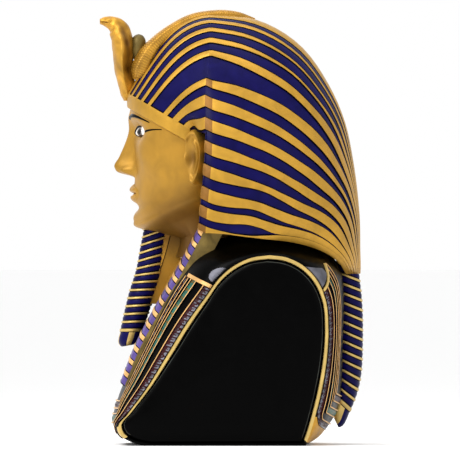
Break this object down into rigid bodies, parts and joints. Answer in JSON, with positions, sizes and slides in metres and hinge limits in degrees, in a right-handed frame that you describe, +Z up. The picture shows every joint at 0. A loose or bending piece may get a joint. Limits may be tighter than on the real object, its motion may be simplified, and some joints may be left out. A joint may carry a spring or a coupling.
{
  "type": "pharaoh bust",
  "caption": "Hand-painted resin pharaoh bust: striped headcloth with rearing cobra, false beard, pleated lappets, broad collar and bound queue, cut flat at the arms, resting on its flat base.",
  "frame": {"origin": "centre of the bounding box's underside, on the flat base", "axes": "+Z up through the head; the face looks along -Y; +X is the bust's own left side"},
  "size_m": [0.156, 0.1578, 0.2599],
  "materials": {
    "painted_resin": "hand-painted antique gold, glossy indigo and glossy black"
  },
  "bodies": {
    "root": {"pharaoh_bust": "painted_resin"}
  },
  "joints": []
}
